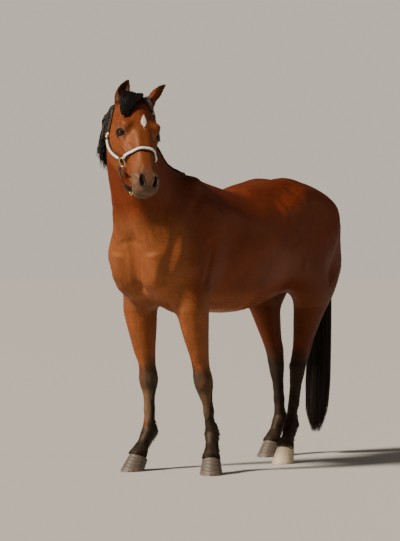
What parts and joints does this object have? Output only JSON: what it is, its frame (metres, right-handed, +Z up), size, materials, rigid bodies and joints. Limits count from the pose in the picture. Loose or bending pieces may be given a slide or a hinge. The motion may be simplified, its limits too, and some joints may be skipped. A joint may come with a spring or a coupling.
{
  "type": "horse",
  "caption": "Life-size standing bay horse with black mane and tail, head turned to its left, wearing a leather halter with a padded noseband.",
  "frame": {"origin": "on the ground, at the middle of the model's footprint box", "axes": "+Z up, the body faces -Y, the horse's left side is +X"},
  "size_m": [0.6402, 2.0486, 2.0236],
  "materials": {
    "coat": "short glossy red-brown coat hair over skin",
    "black_points": "short black-brown coat hair over skin",
    "hair": "long black hair in locks",
    "horn": "grey-brown horn with fine growth rings",
    "pale_horn": "cream horn with fine growth rings",
    "eye": "wet dark brown eye",
    "strap": "dark oiled leather",
    "padding": "white rolled padding on dark leather",
    "metal": "worn brass"
  },
  "bodies": {
    "root": {"ear_left": "coat", "ear_right": "coat", "eye_left": "eye", "eye_right": "eye", "head": "coat", "neck": "coat", "forearm_front_left": "coat", "cannon_front_left": "black_points", "hoof_front_left": "horn", "forearm_front_right": "coat", "cannon_front_right": "black_points", "hoof_front_right": "horn", "gaskin_hind_left": "coat", "cannon_hind_left": "black_points", "hoof_hind_left": "pale_horn", "gaskin_hind_right": "coat", "cannon_hind_right": "black_points", "hoof_hind_right": "horn", "trunk": "coat", "ring_left": "metal", "ring_right": "metal", "ring_chin": "metal", "halter_noseband": "padding", "halter_chin": "strap", "halter_crown": "strap", "halter_cheek_left": "padding", "halter_cheek_right": "padding", "mane": "hair", "forelock": "hair", "tail": "hair"}
  },
  "joints": []
}
